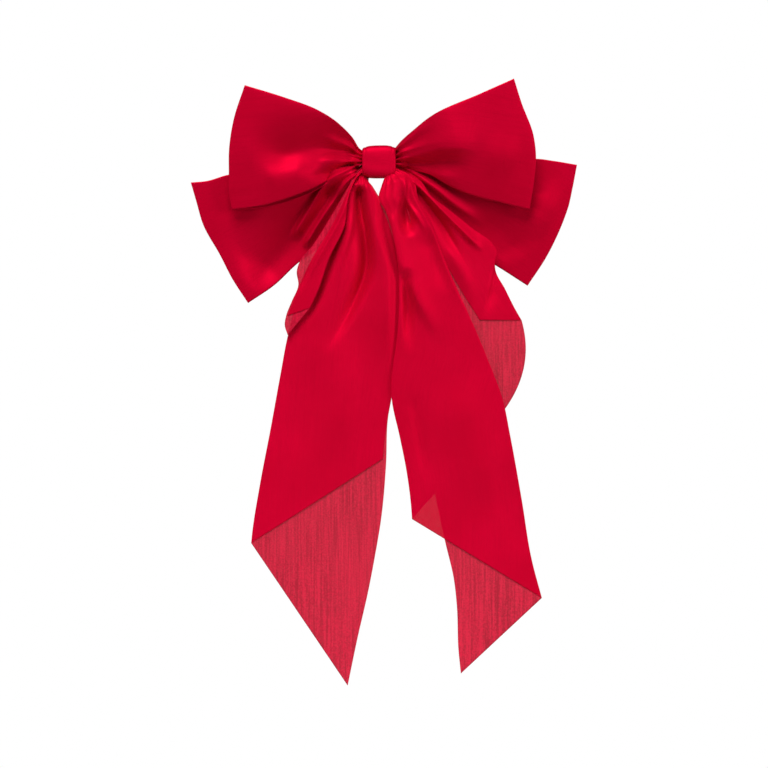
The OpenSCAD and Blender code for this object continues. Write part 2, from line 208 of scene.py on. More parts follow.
SATIN_SHEEN = (0.95, 0.02, 0.1, 1)
SATIN_GLOSS = (1.0, 0.1, 0.25, 1)
CREPE_SHEEN = (0.95, 0.1, 0.2, 1)
WARP = (5200, 160, 1)  # noise cells in a metre of cloth, across and along it
SLUBS = (900, 26, 1)
CREPE_THREADS = (800, 800, 26)  # noise cells in a metre, in x, y and z


class Nodes:
    """Short names for building a material's nodes."""

    def __init__(self, name):
        self.material = bpy.data.materials.new(name)
        self.material.use_nodes = True
        self.tree = self.material.node_tree
        self.surface = self.tree.nodes["Principled BSDF"]

    def add(self, kind, **values):
        node = self.tree.nodes.new(kind)
        for key, value in values.items():
            setattr(node, key, value)
        return node

    def link(self, start, end):
        self.tree.links.new(start, end)

    def coords(self, scale, uv=True):
        """The piece's own cloth coordinates, or its place, stretched by scale."""
        source = self.add("ShaderNodeUVMap", uv_map="weave") if uv else self.add("ShaderNodeTexCoord")
        mapping = self.add("ShaderNodeMapping")
        mapping.inputs["Scale"].default_value = scale
        self.link(source.outputs["UV" if uv else "Object"], mapping.inputs["Vector"])
        return mapping.outputs["Vector"]

    def noise(self, vector, scale, detail=2.0, roughness=0.5):
        node = self.add("ShaderNodeTexNoise")
        node.inputs["Scale"].default_value = scale
        node.inputs["Detail"].default_value = detail
        node.inputs["Roughness"].default_value = roughness
        self.link(vector, node.inputs["Vector"])
        return node.outputs["Fac"]

    def spread(self, value, low, high, to_low, to_high):
        node = self.add("ShaderNodeMapRange")
        for key, number in (("From Min", low), ("From Max", high), ("To Min", to_low), ("To Max", to_high)):
            node.inputs[key].default_value = number
        self.link(value, node.inputs["Value"])
        return node.outputs["Result"]

    def mix(self, share, first, second):
        node = self.add("ShaderNodeMix", data_type="RGBA")
        self.link(share, node.inputs["Factor"])
        for socket, colour in ((node.inputs["A"], first), (node.inputs["B"], second)):
            if isinstance(colour, (tuple, list)):
                socket.default_value = (*colour[:3], 1)
            else:
                self.link(colour, socket)
        return node.outputs["Result"]

    def maths(self, operation, first, second):
        node = self.add("ShaderNodeMath", operation=operation)
        for socket, value in zip(node.inputs, (first, second)):
            if isinstance(value, (int, float)):
                socket.default_value = value
            else:
                self.link(value, socket)
        return node.outputs["Value"]

    def bump(self, height, strength, distance):
        node = self.add("ShaderNodeBump")
        node.inputs["Strength"].default_value = strength
        node.inputs["Distance"].default_value = distance
        self.link(height, node.inputs["Height"])
        self.link(node.outputs["Normal"], self.surface.inputs["Normal"])

    def set(self, **values):
        for key, value in values.items():
            self.surface.inputs[key.replace("_", " ")].default_value = value


def satin_material(name, colour, shade, alpha=1.0):
    """Satin face: warp threads that lie side by side along the ribbon, slubs in them,
    and a slow change of depth over the cloth."""
    n = Nodes(name)
    threads = n.noise(n.coords(WARP), 1.0, 2)
    slubs = n.noise(n.coords(SLUBS), 1.0, 3)
    cloud = n.noise(n.coords((1, 1, 1), uv=False), 22.0, 2)
    tone = n.mix(n.spread(cloud, 0.3, 0.7, 0, 1), shade, colour)
    fine = n.maths("ADD", n.maths("MULTIPLY", threads, 0.6), n.maths("MULTIPLY", slubs, 0.4))
    deep = tuple(c * 0.95 for c in shade)
    n.link(n.mix(n.spread(fine, 0.3, 0.55, 0.0, 1.0), deep, tone), n.surface.inputs["Base Color"])
    n.link(n.spread(slubs, 0.3, 0.7, 0.5, 0.58), n.surface.inputs["Roughness"])
    n.bump(fine, 0.04, 0.0002)
    n.set(Metallic=0.32, Sheen_Weight=0.06, Sheen_Roughness=0.4, Specular_IOR_Level=0.05, Alpha=alpha)
    n.surface.inputs["Sheen Tint"].default_value = SATIN_SHEEN
    n.surface.inputs["Specular Tint"].default_value = SATIN_GLOSS
    return n.material


def crepe_material(name, colour, shade, alpha=1.0):
    """Matte inside of the cloth: crepe dots and long uneven threads."""
    n = Nodes(name)
    threads = n.noise(n.coords(CREPE_THREADS, uv=False), 1.0, 3, 0.55)
    dots = n.noise(n.coords((1, 1, 1), uv=False), 900.0, 2)
    cloud = n.noise(n.coords((1, 1, 1), uv=False), 30.0, 2)
    grain = n.maths("ADD", n.maths("MULTIPLY", threads, 0.6), n.maths("MULTIPLY", dots, 0.4))
    tone = n.mix(n.spread(grain, 0.4, 0.6, 0, 1), shade, colour)
    n.link(n.mix(n.spread(cloud, 0.3, 0.75, 0, 0.35), tone, colour), n.surface.inputs["Base Color"])
    n.bump(grain, 0.3, 0.0003)
    n.set(Roughness=0.85, Sheen_Weight=0.12, Sheen_Roughness=0.5, Specular_IOR_Level=0.05, Alpha=alpha)
    n.surface.inputs["Sheen Tint"].default_value = CREPE_SHEEN
    return n.material


def steel_material(name, tone, roughness):
    """Plated steel: drawn along the clip, with fine scratches and rubbed patches."""
    n = Nodes(name)
    drawn = n.noise(n.coords((60, 2600, 2600), uv=False), 1.0, 3)
    rubbed = n.noise(n.coords((1, 1, 1), uv=False), 180.0, 4, 0.6)
    n.link(n.mix(n.spread(rubbed, 0.35, 0.7, 0, 1), tuple(c * 0.82 for c in tone), tone),
           n.surface.inputs["Base Color"])
    wear = n.maths("ADD", n.maths("MULTIPLY", drawn, 0.7), n.maths("MULTIPLY", rubbed, 0.3))
    n.link(n.spread(wear, 0.3, 0.7, roughness, roughness + 0.16), n.surface.inputs["Roughness"])
    n.bump(drawn, 0.1, 0.0001)
    n.set(Metallic=1.0)
    return n.material


def thread_material(name, colour):
    """Sewing thread: two plies that twist round each other, with a little lint."""
    n = Nodes(name)
    wave = n.add("ShaderNodeTexWave", wave_type="BANDS", bands_direction="DIAGONAL")
    wave.inputs["Scale"].default_value = 1.0
    wave.inputs["Distortion"].default_value = 1.2
    n.link(n.coords((2400, 2400, 2400), uv=False), wave.inputs["Vector"])
    lint = n.noise(n.coords((1, 1, 1), uv=False), 3000.0, 2)
    twist = n.maths("ADD", n.maths("MULTIPLY", wave.outputs["Fac"], 0.7), n.maths("MULTIPLY", lint, 0.3))
    n.link(n.mix(twist, tuple(c * 0.45 for c in colour), colour), n.surface.inputs["Base Color"])
    n.bump(twist, 0.5, 0.0002)
    n.set(Roughness=0.55, Sheen_Weight=0.3, Specular_IOR_Level=0.2)
    return n.material


def named(name, make, *args):
    """The material of that name, made the first time that it is asked for."""
    return bpy.data.materials.get(name) or make(name, *args)


def cloth_materials(bow):
    """Satin of the doubled ribbon, its colour darkened by doubled as painted shade for the light that comes
    through one layer but not two, then satin and crepe of one layer, which light comes through.
    """
    satin, deep, crepe, pale = (tuple(c) for c in (bow.satin, bow.satin_shade, bow.crepe, bow.crepe_shade))
    # Painted shade: the doubled ribbon's satin is the single layer's colour darkened, standing in for the
    # light that one layer lets through from behind and two layers hold back.
    doubled = [tuple(c * bow.doubled for c in tone) for tone in (satin, deep)]
    return [
        named("crimson_satin", satin_material, *doubled),
        named("sheer_crimson_satin", satin_material, satin, deep, bow.sheerness),
        named("sheer_crimson_crepe", crepe_material, crepe, pale, bow.sheerness),
    ]


# ---------------------------------------------------------------- loops

# Each loop is drawn in millimetres as (x, z) points seen from the front: its top and bottom
# edges from the knot outwards, and its outer fold from the bottom to the top. At shares of its
# length, depth is the y of its middle line and gap how far behind it the back wall stands.
# A fold is (line, height, width on the left, width on the right, rise, fall, power), as
# fold() takes them, and pleats are (count, phase, height, reach). back_dip lowers the back
# wall's bottom edge, so that it shows below the front's, and lean brings the top edge forward.
LOOPS = {
    "upper_left_loop": {
        "top": [(-7.5, 5.6), (-12.1, 7.7), (-18.2, 16.5), (-27.3, 25), (-40.4, 32.6), (-61.5, 40.4),
                (-88.4, 48.8)],
        "bottom": [(-7.5, -1.5), (-13, -2), (-22, -4.5), (-31, -10.5), (-42.6, -17.6), (-54.8, -22.8),
                   (-77.3, -29.6), (-97.6, -32.3)],
        "outer": [(-97.6, -32.3), (-99.6, -20), (-99.4, -7.7), (-99.2, 5.7), (-95.9, 26.5), (-88.4, 48.8)],
        "depth": [(0, -12.2), (0.15, -13.4), (0.45, -19.5), (0.8, -21), (1, -20.5)],
        "gap": [(0, 2.2), (0.12, 3), (0.5, 10.5), (0.85, 6), (1, 3.2)],
        "folds": [
            ([(-10, 3.5), (-22, 7), (-36, 8.4), (-50, 7.4), (-66, 3.6), (-84, -3)], -9, 13, 15,
             0.08, 0.35, 1.7),
            ([(-46, -5), (-62, -9), (-78, -14)], 1.6, 8, 8, 0.3, 0.3, 2),
            ([(-12, 6.5), (-20, 9.5), (-28, 12), (-38, 18)], 3, 3, 4, 0.1, 0.4, 1.6),
            ([(-12, 1), (-22, 1.6), (-33, 0.5), (-42, -2)], 4.2, 6, 3, 0.1, 0.4, 1.8),
            ([(-14, -3), (-30, -6.5), (-48, -11)], -4.5, 9, 4, 0.15, 0.5, 1.7),
        ],
        "pleats": (4, 0.1, 4.2, 10),
        "back_dip": 2.2,
        "lean": 15,
    },
    "upper_right_loop": {
        "top": [(7.5, 5.6), (10, 8.3), (16, 14.5), (22.6, 19.8), (30.6, 26), (67.3, 43.2), (88.9, 52.9)],
        "bottom": [(7.5, -2.5), (11.3, -3), (22.6, -5.7), (34, -9), (45.1, -15.7), (61.7, -22.8),
                   (80.6, -27.6), (99.9, -32.3)],
        "outer": [(99.9, -32.3), (102.6, -15), (103.9, 2.3), (102.2, 15.7), (93.9, 37.6), (88.9, 52.9)],
        "depth": [(0, -12.2), (0.15, -13.4), (0.45, -19.5), (0.8, -21), (1, -20.5)],
        "gap": [(0, 2.2), (0.12, 3), (0.5, 10.5), (0.85, 6), (1, 3.2)],
        "folds": [
            ([(11, 2.4), (29, 5), (39, 7), (56, 7), (70, 2)], 5.4, 17, 4.2, 0.08, 0.35, 1.7),
            ([(14, -2), (30, -1.4), (46, -0.6), (62, -6)], -4, 3.6, 9, 0.1, 0.4, 1.8),
            ([(10, 5), (15, 9.5), (21, 16.5), (34, 26)], 2.4, 2.2, 3.2, 0.15, 0.5, 1.6),
            ([(62, 4), (78, 3), (95, -2)], 2, 12, 12, 0.4, 0.4, 2),
            ([(16, -3.6), (36, -9), (60, -16)], 2, 5, 5, 0.3, 0.5, 2),
        ],
        "pleats": (4, 0.6, 4.2, 10),
        "back_dip": 0.0,
        "lean": 17,
    },
    "lower_left_loop": {
        "top": [(-7.5, -1.5), (-16, -2.5), (-34, -4.2), (-60, -6), (-82, -7), (-100.6, -9), (-114.6, -13),
                (-125.2, -14)],
        "bottom": [(-7.5, -7.5), (-11, -9), (-16, -19), (-25, -38), (-38, -55), (-54.8, -67.6),
                   (-70.6, -82.3), (-87.6, -93.9)],
        "outer": [(-87.6, -93.9), (-98.1, -77.6), (-105.9, -62.3), (-117.5, -41), (-121.5, -27),
                  (-125.2, -14)],
        "depth": [(0, -7), (0.2, -6.8), (0.5, -5.5), (1, -3)],
        "gap": [(0, 1.6), (0.2, 2.6), (0.5, 4.6), (0.85, 3), (1, 1.8)],
        "folds": [
            ([(-13, -3), (-24, -7), (-34, -13), (-48, -34), (-59, -52)], 5.5, 4.5, 1.8, 0.1, 0.14, 1.6),
            ([(-12, -6), (-20, -12), (-30, -25), (-42, -43), (-51, -58)], 5, 3.4, 1.6, 0.1, 0.12, 1.6),
            ([(-26, -10), (-46, -34), (-66, -58), (-92, -84)], -8, 15, 18, 0.15, 0.25, 1.9),
            ([(-46, -12), (-70, -26), (-94, -38)], 2, 9, 9, 0.3, 0.4, 2),
        ],
        "pleats": (4, 0.3, 3, 12),
        "back_dip": 0.0,
        "lean": 11,
    },
    "lower_right_loop": {
        "top": [(7.5, -1.5), (16, -2.5), (36, -4), (62, -4.5), (86, -2.5), (103.9, 1.6), (115.9, 0.3),
                (131.7, -2.3)],
        "bottom": [(7.5, -7.5), (11, -9), (18, -19), (32, -37), (52, -54), (77.3, -68.3), (99.4, -82.3)],
        "outer": [(99.4, -82.3), (111.7, -63.4), (123.9, -36.8), (125.9, -31), (129, -17), (131.7, -2.3)],
        "depth": [(0, -7), (0.2, -6.8), (0.5, -5.5), (1, -3)],
        "gap": [(0, 1.6), (0.2, 2.6), (0.5, 4.6), (0.85, 3), (1, 1.8)],
        "folds": [
            ([(13, -3), (24, -8), (36, -17), (54, -31), (72, -42)], 3.4, 4, 2, 0.1, 0.4, 1.6),
            ([(14, -2), (30, -6), (50, -15), (66, -22)], -2.4, 3, 3.6, 0.2, 0.5, 2),
            ([(112, -10), (115, -22), (110, -38), (102, -54)], 3, 10, 10, 0.5, 0.4, 2),
            ([(60, -34), (80, -46), (96, -66)], -2.6, 9, 14, 0.3, 0.3, 2),
        ],
        "pleats": (4, 0.7, 3, 12),
        "back_dip": 0.0,
        "lean": 12,
    },
}


LOOP_ROWS = 105
LOOP_COLUMNS = 97
OUTWARD_CROWDING = 1.5  # above 1, rows lie closer together towards the outer fold
END_ROUND = 14  # the higher, the tighter the round at the outer fold
EDGE_SHARE = 0.34  # the gap at the top and bottom edges, against the middle's
FRONT_SHARE = 0.45  # how far the front wall stands out, against the back
END_CALM = 0.12  # share of the length over which folds die away before the outer fold
WALL_ROOM = 1.5  # least room between the walls short of the outer fold, in millimetres
LEAN_RISE = 45  # millimetres over which the lean grows


def loop_surface(shape, depth_of_folds):
    """Grid of a loop's cloth. Along it runs from the knot to the outer fold and back behind;
    across, from the bottom edge to the top. In the bow's plane a point lies between the two
    edges, pushed out near the end to follow the outer edge. Its depth is the loop's middle
    line, less part of the gap in front and plus the gap behind, and the gap closes to a round
    at the outer fold.
    Folds stand out of the front wall, and the back wall keeps clear of it. Pleats move both.
    The top edge leans forward."""
    turn = np.linspace(0, 1, LOOP_ROWS)
    there = 1 - (1 - turn) ** OUTWARD_CROWDING
    s = np.concatenate([there, there[-2::-1]])
    front = np.concatenate([np.ones(len(there)), np.zeros(len(there) - 1)])[:, None]
    v = np.linspace(0, 1, LOOP_COLUMNS)[None, :]
    top, bottom = through(shape["top"], s), through(shape["bottom"], s)
    outer = through(shape["outer"], v[0])
    plane = bottom[:, None] * (1 - v[..., None]) + top[:, None] * v[..., None]
    end = len(turn) - 1
    straight = bottom[end] * (1 - v[0][:, None]) + top[end] * v[0][:, None]
    plane = plane + (s**3)[:, None, None] * (outer - straight)[None]
    x, z = plane[..., 0], plane[..., 1]
    z = z - shape["back_dip"] * (1 - front) * (1 - v) ** 4 * (4 * s * (1 - s))[:, None]
    middle = hermite(s, *np.transpose(shape["depth"]))[:, None]
    half = hermite(s, *np.transpose(shape["gap"]))[:, None]
    close = np.sqrt(np.clip(1 - s**END_ROUND, 0, 1))[:, None]
    half = half * (EDGE_SHARE + (1 - EDGE_SHARE) * crown(v) ** 1.3) * close
    raised = sum(fold(x, z, *one) for one in shape["folds"]) * depth_of_folds
    count, phase, height, reach = shape["pleats"]
    from_knot = np.hypot(x, z)
    near = np.exp(-np.clip(from_knot - PLEATS_FROM, 0, None) / reach)
    raised = raised * (0.25 + 0.75 * smooth((from_knot - FOLDS_FROM) / FOLDS_RISE))
    gathers = height * near * (pleats(v, count, phase) - PLEAT_MIDDLE)
    away = smooth((1 - s) / END_CALM)[:, None]
    fore = -(FRONT_SHARE * half + raised * away)
    clear = fore + WALL_ROOM * close
    back = (half + clear + np.sqrt((half - clear) ** 2 + 1)) / 2
    y = middle - gathers + np.where(front > 0, fore, back)
    y = y - shape["lean"] * smooth((from_knot - FOLDS_FROM) / LEAN_RISE) * v
    return np.stack([x, y, z], -1)


def make_loop(name, bow):
    shape = LOOPS[name]
    points = loop_surface(shape, bow.fold_depth)
    along, across = lengths(points, 0), lengths(points, 1)
    uv = np.stack([across, along], -1) * MM
    piece = grid_mesh(name + "_cloth", points, uv, flip=name.endswith("left_loop"))
    # The loops take the doubled satin, darkened as painted shade.
    piece.data.materials.append(cloth_materials(bow)[0])
    thicken(piece, bow.ribbon_thickness / MM)
    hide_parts(name)
    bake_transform(piece)
    return piece


# ---------------------------------------------------------------- tails

# Each tail is a ribbon folded along its length, made of panels side by side round it, from the
# knot down to the slanting cut. These are the panels' edges, as (x, z) points in millimetres:
# a FOLD or SHORT_TOP joins two panels, and a FREE edge or a SEAM ends one.
LEFT_FOLD = [(-8, -3.5), (-11, -5.5), (-18, -17), (-28, -38), (-41, -63), (-51.5, -84), (-60.6, -115.6),
             (-65.9, -143.3), (-71.9, -176.2), (-79.3, -214.8), (-84.6, -248.1), (-85.2, -254.1)]
LEFT_FREE = [(-6, -6.5), (-8.2, -10.1), (-4, -17.5), (0.2, -24.5), (5, -34), (10, -48), (14, -66), (15, -90),
             (13, -125), (8.7, -154.2), (4, -181.5), (2.4, -198.1)]
LEFT_BACK_FREE = [(-5, -6.5), (-7, -11), (-1, -24.5), (4, -36), (9, -50), (13, -66), (14, -90),
                  (12.5, -125), (8.9, -152), (5.8, -172.2), (4.7, -201.5), (1.3, -238.8), (-2.7, -262.7),
                  (-7.3, -286.7), (-14, -316), (-20.9, -349.1)]
RIGHT_FOLD = [(8, -3), (12, -4.5), (23.3, -12.3), (26, -24.3), (35.1, -41), (41.8, -60.1), (49.3, -78.9),
              (59.3, -100.9), (71.7, -130), (82.8, -160), (87.2, -181.5), (95.2, -225.4), (101.9, -265.4),
              (108.6, -290.7)]
RIGHT_LEFT_FOLD = [(6, -6.5), (4.2, -10.2), (1.6, -17), (-0.3, -24), (4.6, -34), (9.3, -50), (12.4, -67.6),
                   (13.4, -90), (12.6, -110), (8.4, -157.5), (14, -184.1), (18, -204.1), (21.6, -232.1),
                   (22, -238.1)]
RIGHT_SEAM = [(8, -6), (9, -14), (12, -30), (18, -50), (24, -80), (27, -110), (28, -150), (31, -180),
              (37.3, -220.8)]
RIGHT_SEAM_LONG = RIGHT_SEAM[:-1] + [(37.3, -220.8), (44, -252.7), (50, -278.7), (51.9, -296),
                                     (53, -325.3), (54.6, -341.1)]
FLAP_FOLD = [(-7.5, -5.5), (-12.5, -8.5), (-19.3, -21), (-23, -43.4), (-33.6, -65.6), (-40.3, -85.6),
             (-46, -97.6)]
FLAP_FREE = [(-8, -2.5), (-12, -5), (-17.5, -14), (-24.5, -29), (-31.5, -43.4), (-44.8, -65.6),
             (-54.8, -87.6), (-61, -103)]
FLAP_BACK_FREE = [(-8.5, -2), (-13, -5), (-21, -18), (-32, -37), (-44, -56), (-52.6, -66.7), (-54.6, -73.6),
                  (-53.5, -82), (-58, -93.4), (-61.5, -102.2), (-62.6, -108.9), (-60.6, -115.6)]
SHORT_TOP = [(8, -1.5), (13, -3), (20, -7), (28.4, -13.5), (34, -22.3), (45.1, -31), (61.7, -44.3),
             (76.8, -56.6), (78.2, -59.4), (77.2, -65.6), (77.4, -71.5), (84, -85), (90, -97),
             (95, -105.8)]
SHORT_FREE = [(8, -4), (14, -6), (22, -18), (30, -35), (39, -58), (49, -75.6), (58, -91), (67.3, -105.6)]
SHORT_BACK_FREE = [(8, -5), (12, -9), (18, -30), (26, -60), (36, -92), (48, -122), (64, -150), (79, -171)]

# A panel is (first edge, last edge, -1 in front or 1 behind, columns, how far its lower end
# bulges in x and z). depth is the y of the tail's middle at drops below the bow's middle, and
# half is how far its panels stand from it. Folds and pleats are as in LOOPS, but with twice the
# count of pleats round the tail. body names the tail's body below the knot, and neck_rows
# are the rows above the row where make_tail splits the tail in two.
# A flat size is (width, length, area counted).
# The short tails' and the neck's areas are set to suit the cloth as drawn, not a whole ribbon.
TAILS = {
    "left_long_tail": {
        "panels": [(LEFT_FREE, LEFT_FOLD, -1, 100, (0, 0)), (LEFT_FOLD, LEFT_BACK_FREE, 1, 44, (0, 0))],
        "depth": [(0, -9.5), (8, -10.5), (14, -12.6), (40, -15), (80, -15), (120, -13.5), (200, -11.2),
                  (350, -9.2)],
        "half": 1.3,
        "rows": 230,
        "folds": [
            ([(-7.5, -11), (-3.4, -24.5), (-3.6, -41), (1, -57), (5, -72), (5.6, -90), (5.4, -120),
              (4.5, -160)], 4.2, 5, 9, 0.05, 0.5, 1.8),
            ([(-13.4, -14), (-12.2, -32), (-9.4, -46), (-8.5, -70), (-17.3, -94), (-38, -130)], -9.5, 3.4, 5,
             0.06, 0.6, 1.6),
            ([(-14, -12), (-16.4, -21), (-17.8, -38), (-24, -65), (-29, -90)], 2.8, 2.4, 3.4, 0.06, 0.5, 1.8),
            ([(-24, -40), (-33, -66), (-42, -90), (-52, -112)], -3, 3.4, 5, 0.1, 0.4, 2),
            ([(-42, -120), (-46, -160), (-62, -210)], -1.6, 14, 14, 0.4, 0.4, 2),
            ([(-20, -110), (-22, -160), (-30, -205)], 1.8, 10, 16, 0.4, 0.4, 2),
        ],
        "pleats": (5, 0.2, 0.9, 12),
        "body": "left_tails",
        "flat": (0.16, 0.36, 0.0447),
    },
    "left_short_tail": {
        "panels": [(FLAP_FREE, FLAP_FOLD, -1, 40, (0, 0)), (FLAP_FOLD, FLAP_BACK_FREE, 1, 34, (0, 0))],
        "depth": [(0, -11.5), (8, -12.8), (14, -15.6), (40, -19), (70, -19.2), (118, -18)],
        "half": 0.9,
        "rows": 110,
        "folds": [
            ([(-11, -6), (-17, -18), (-25, -36), (-37, -58), (-51, -84)], 2.4, 2.4, 2.4, 0.1, 0.3, 1.6),
            ([(-22, -26), (-32, -47), (-44, -68), (-56, -92)], -1, 1.6, 1.6, 0.2, 0.3, 2),
        ],
        "pleats": (3, 0.5, 0.6, 10),
        "body": "left_tails",
        "flat": (0.05, 0.125, 0.0026),
    },
    "right_long_tail": {
        "panels": [(RIGHT_SEAM, RIGHT_LEFT_FOLD, 1, 22, (0, 0)),
                   (RIGHT_LEFT_FOLD, RIGHT_FOLD, -1, 110, (0, 0)),
                   (RIGHT_FOLD, RIGHT_SEAM_LONG, 1, 40, (0, 0))],
        "depth": [(0, -13.4), (8, -15), (14, -16), (40, -18.2), (80, -18.4), (130, -15.6), (200, -12.2),
                  (280, -10), (345, -9.2)],
        "half": 1.3,
        "rows": 220,
        "folds": [
            ([(12, -8), (15, -15), (13.4, -25), (10.4, -37)], 3.4, 4, 8, 0.15, 0.4, 2),
            ([(8, -26), (9.5, -41), (13, -62), (24, -88), (42, -122)], 3, 7, 3.4, 0.15, 0.3, 1.8),
            ([(15.6, -16), (17.6, -32), (19.8, -52)], -6.5, 4.4, 4.4, 0.6, 0.35, 2),
            ([(17.5, -70), (19, -92), (20, -130)], -4, 4, 3, 0.15, 0.5, 2),
            ([(17, -8), (19, -27), (26, -38), (33, -50)], 2.4, 1.8, 1.8, 0.1, 0.4, 1.8),
            ([(20, -10), (23.6, -24), (34, -43), (44.5, -70), (60, -106)], 2.6, 1.6, 3.8, 0.06, 0.4, 1.6),
            ([(28, -44), (38, -66), (45, -90)], -2.4, 8, 8, 0.3, 0.5, 2),
            ([(22, -150), (27, -184), (33, -214)], -1.2, 5, 4, 0.25, 0.35, 2),
            ([(50, -140), (62, -184), (74, -232)], 2.2, 16, 18, 0.35, 0.35, 2),
            ([(78, -190), (90, -236), (98, -268)], -1, 8, 8, 0.3, 0.3, 2),
        ],
        "pleats": (5, 0.85, 0.9, 12),
        "body": "right_short_tail",
        "neck_rows": 14,
        "neck_flat": (0.05, 0.025, 0.0008),
        "flat": (0.16, 0.33, 0.0425),
    },
    "right_short_tail": {
        "panels": [(SHORT_FREE, SHORT_TOP, -1, 90, (0, 0)), (SHORT_TOP, SHORT_BACK_FREE, 1, 40, (9, -1))],
        "depth": [(0, -8.8), (8, -10), (14, -12.6), (40, -15), (80, -14.4), (120, -12.8), (172, -11)],
        "half": 1.1,
        "rows": 150,
        "folds": [
            ([(16, -8), (27.3, -18), (45.3, -36.4), (58.6, -49.5), (70, -61)], 3.8, 3.4, 1.6, 0.08, 0.2, 1.6),
            ([(22, -15), (34, -31), (46, -48), (58, -72)], -4.2, 2.4, 4.4, 0.1, 0.5, 1.8),
            ([(78, -68), (76, -82), (70, -104)], -2, 5, 1.6, 0.2, 0.5, 1.6),
            ([(44, -52), (56, -74), (66, -96)], 1.4, 4, 4, 0.3, 0.5, 2),
        ],
        "pleats": (4, 0.4, 0.8, 12),
        "body": "right_short_tail",
        "flat": (0.16, 0.18, 0.0105),
    },
}


FLAT_SHARE = 0.25  # how far a panel stands from the middle beside its folds, against its centre
FOLD_SHARPNESS = 12  # the higher, the tighter the fold between two panels
FREE_SHARE = 0.3  # how far a free edge stands from the middle
CUT_NARROWING = 0.65  # how much less deep the tail's fold is at the cut than at the knot


def tail_surface(shape, depth_of_folds):
    """Grid of a tail's cloth. Across, it runs over the panels in turn, so that neighbouring
    panels share their fold; along, from the knot to the cut. A point lies between the same
    share of its panel's two edges. Its depth is the tail's middle line at that height, with
    each panel bowed part of an ellipse to the front or back, less so towards the cut, and
    with the folds and pleats on all of them."""
    s = np.linspace(0, 1, shape["rows"])[:, None]
    xs, zs, bows = [], [], []
    for number, (first, last, side, columns, bulge) in enumerate(shape["panels"]):
        share = 0.5 - 0.5 * np.cos(np.pi * np.linspace(0, 1, columns))
        if number:
            share = share[1:]  # its first column is the last one's
        a, b = through(first, s[:, 0]), through(last, s[:, 0])
        plane = a[:, None] * (1 - share[:, None]) + b[:, None] * share[:, None]
        swell = (s**4)[..., None] * (4 * share * (1 - share))[:, None]
        plane = plane + swell * np.array(bulge)
        xs.append(plane[..., 0])
        zs.append(plane[..., 1])
        bow = side * (FLAT_SHARE + (1 - FLAT_SHARE) * crown(share))
        bow = bow * np.minimum(1, FOLD_SHARPNESS * crown(share))
        bows.append(np.broadcast_to(bow, plane.shape[:2]))
    x, z, bow = (np.concatenate(q, 1) for q in (xs, zs, bows))
    first_side, last_side = shape["panels"][0][2], shape["panels"][-1][2]
    bow[:, 0], bow[:, -1] = FREE_SHARE * first_side, FREE_SHARE * last_side
    middle = hermite(-z, *np.transpose(shape["depth"]))
    raised = sum(fold(x, z, *one) for one in shape["folds"]) * depth_of_folds
    count, phase, height, reach = shape["pleats"]
    width = np.linspace(0, 1, x.shape[1])[None, :]
    from_knot = np.hypot(x, z)
    near = np.exp(-np.clip(from_knot - PLEATS_FROM, 0, None) / reach)
    raised = raised * (0.2 + 0.8 * smooth((from_knot - FOLDS_FROM) / FOLDS_RISE))
    raised = raised + height * near * (pleats(width, 2 * count, phase) - PLEAT_MIDDLE)
    y = middle + shape["half"] * (1 - CUT_NARROWING * smooth(s)) * bow - raised
    return np.stack([x, y, z], -1)


def tight_end(grid, first):
    """The grid with one more row just inside its first or last one, so that smooth shading
    stays true right up to that end."""
    rows = grid[::-1] if first else grid
    near = 0.015
    inner = rows[-1:] * (1 - near) + rows[-2:-1] * near
    rows = np.concatenate([rows[:-1], inner, rows[-1:]])
    return rows[::-1] if first else rows


def make_tail(name, bow):
    """Makes a tail's cloth. A tail with a neck is split in two at the row where its own
    joint's bend begins."""
    shape = TAILS[name]
    points = tail_surface(shape, bow.fold_depth)
    along, across = lengths(points, 0), lengths(points, 1)
    uv = np.stack([across, along[-1:] - along], -1) * MM
    front = [panel[2] for panel in shape["panels"]].index(-1)
    first, last = shape["panels"][front][:2]
    split = shape.get("neck_rows", 0)
    spans = [("_neck_cloth", 0, split + 1)] * bool(split) + [("_cloth", split, len(points))]
    made = []
    for ending, start_row, end_row in spans:
        cloth, weave = points[start_row:end_row], uv[start_row:end_row]
        if split:
            cloth, weave = tight_end(cloth, start_row > 0), tight_end(weave, start_row > 0)
        piece = grid_mesh(name + ending, cloth, weave, flip=last[-1][0] < first[-1][0])
        for material in cloth_materials(bow)[1:]:
            piece.data.materials.append(material)
        thicken(piece, bow.cloth_thickness / MM, inner_slot=1)
        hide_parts(name)
        if split and start_row:
            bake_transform(piece)
        else:
            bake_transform(piece)
        made.append(piece)
    return made


# ---------------------------------------------------------------- knot


def knot_surface(width, height, low, high):
    """Grid of the knot band. Round it goes a rounded box; across it the band is crowned,
    so that it is tallest in the middle, and both edges turn in with a small round."""
    turn = np.linspace(0, 2 * np.pi, 181)[:-1][None, :]
    w = np.linspace(-1, 1, 81)[:, None]
    half_w = width / 2
    edge = 1.1  # radius of the turned-in edge
    face = 0.86  # share of the columns on the band's face; the rest turn in
    crowning = 1.1  # how much lower the face is at its edges than in its middle
    reach = np.clip(np.abs(w) / face, 0, 1)
    curl = np.clip((np.abs(w) - face) / (1 - face), 0, 1) * np.pi
    x = np.sign(w) * (reach * (half_w - edge) + edge * np.sin(curl))
    inset = crowning * reach**4 + edge * (1 - np.cos(curl))
    power = 5  # 2 is an ellipse, and the higher the squarer
    c, s = np.cos(turn), np.sin(turn)
    box = (np.abs(c) ** power + np.abs(s) ** power) ** (-1 / power)
    deep, mid_y = (high - low) / 2, (high + low) / 2
    ruck = 0.16 * np.sin(3 * turn + 1.1 * x / half_w + 0.6) + 0.1 * np.sin(7 * turn - 2 * x / half_w)
    line = 0.3 * np.exp(-(((np.abs(x) - 0.83 * half_w) / 0.35) ** 2))
    z = (height / 2 + 0.2 - inset + ruck - line) * box * s
    y = mid_y + (deep - 0.45 * inset + 0.5 * ruck - 0.5 * line) * box * c
    return np.stack([np.broadcast_to(x, y.shape), y, z], -1)


